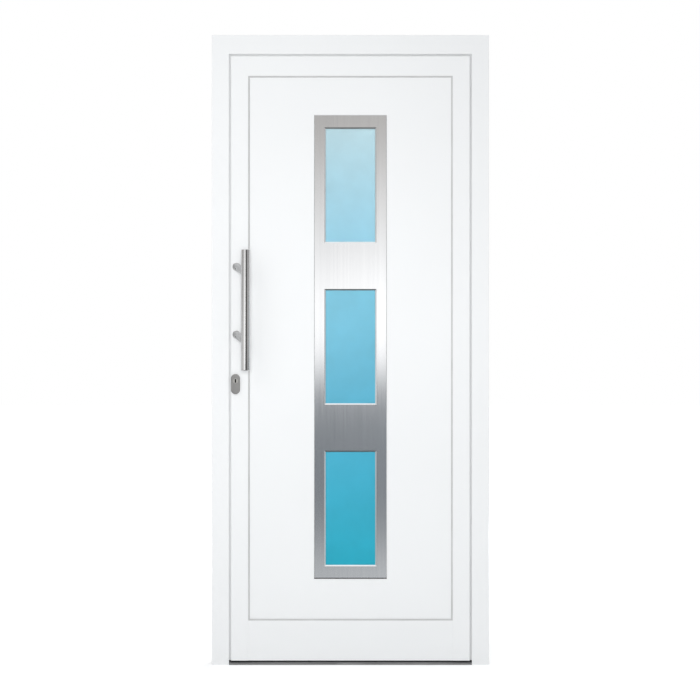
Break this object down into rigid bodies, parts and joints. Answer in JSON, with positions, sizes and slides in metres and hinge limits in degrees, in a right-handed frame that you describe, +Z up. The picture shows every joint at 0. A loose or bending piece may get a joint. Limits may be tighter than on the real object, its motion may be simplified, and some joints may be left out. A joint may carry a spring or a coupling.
{
  "type": "aluminium front door",
  "caption": "White aluminium front door in its frame, inward opening, with a steel strip of rectangular blue windows, a slanted pull bar outside and a lever inside.",
  "frame": {"origin": "underside of the threshold, at the middle of the door's width and of the frame's depth", "axes": "+X from the lock side to the hinge side as seen from outside, +Y from outside to inside, +Z up"},
  "size_m": [0.924, 0.2135, 2.1],
  "materials": {
    "white_coat": "satin white powder coat, fine texture",
    "brushed_steel": "stainless steel, brushed",
    "blue_glass": "satin blue glass, deeper towards the bottom",
    "clear_glass": "clear float glass",
    "grey_rubber": "light grey glazing rubber, matt",
    "drop_seal_rubber": "mid grey seal rubber, matt",
    "polyamide": "black glass-filled polyamide, matt",
    "foam": "pale insulating foam",
    "dark_aluminium": "dark anodised aluminium",
    "plain_aluminium": "mill finish aluminium",
    "lock_steel": "satin nickel plated steel"
  },
  "bodies": {
    "frame": {"lock_jamb": "white_coat", "hinge_jamb": "white_coat", "head": "white_coat", "frame_thermal_breaks": "polyamide", "frame_seal": "grey_rubber", "threshold_nose": "dark_aluminium", "threshold_core": "polyamide", "threshold_heel": "dark_aluminium", "strike_plate": "lock_steel", "hinge_on_frame_lower": "white_coat", "hinge_on_frame_middle": "white_coat", "hinge_on_frame_upper": "white_coat"},
    "leaf": {"bead_bottom": "white_coat", "bead_hinge_side": "white_coat", "bead_lock_side": "white_coat", "bead_top": "white_coat", "bottom_rail": "white_coat", "bottom_seal": "drop_seal_rubber", "glass_outer_bottom": "blue_glass", "glass_outer_middle": "blue_glass", "glass_outer_top": "blue_glass", "glass_rear_panes": "clear_glass", "glass_spacers": "plain_aluminium", "hinge_on_leaf_lower": "white_coat", "hinge_on_leaf_middle": "white_coat", "hinge_on_leaf_upper": "white_coat", "hinge_stile": "white_coat", "leaf_thermal_breaks": "polyamide", "lever_handle": "brushed_steel", "lever_plate": "brushed_steel", "lock_bolts": "lock_steel", "lock_cylinder": "lock_steel", "lock_faceplate": "lock_steel", "lock_rosette": "brushed_steel", "lock_stile": "white_coat", "panel_core": "foam", "panel_inner_skin": "white_coat", "panel_outer_skin": "white_coat", "panel_seal": "grey_rubber", "pull_bar": "brushed_steel", "pull_bar_supports": "brushed_steel", "steel_trim_inner": "brushed_steel", "steel_trim_outer": "brushed_steel", "top_rail": "white_coat"}
  },
  "joints": [
    {"name": "leaf_swing", "type": "hinge", "parent": "frame", "child": "leaf", "pos_m": [0.4205, 0.0495, 1.05], "axis": [0, 0, -1], "range_deg": [0, 110]}
  ]
}
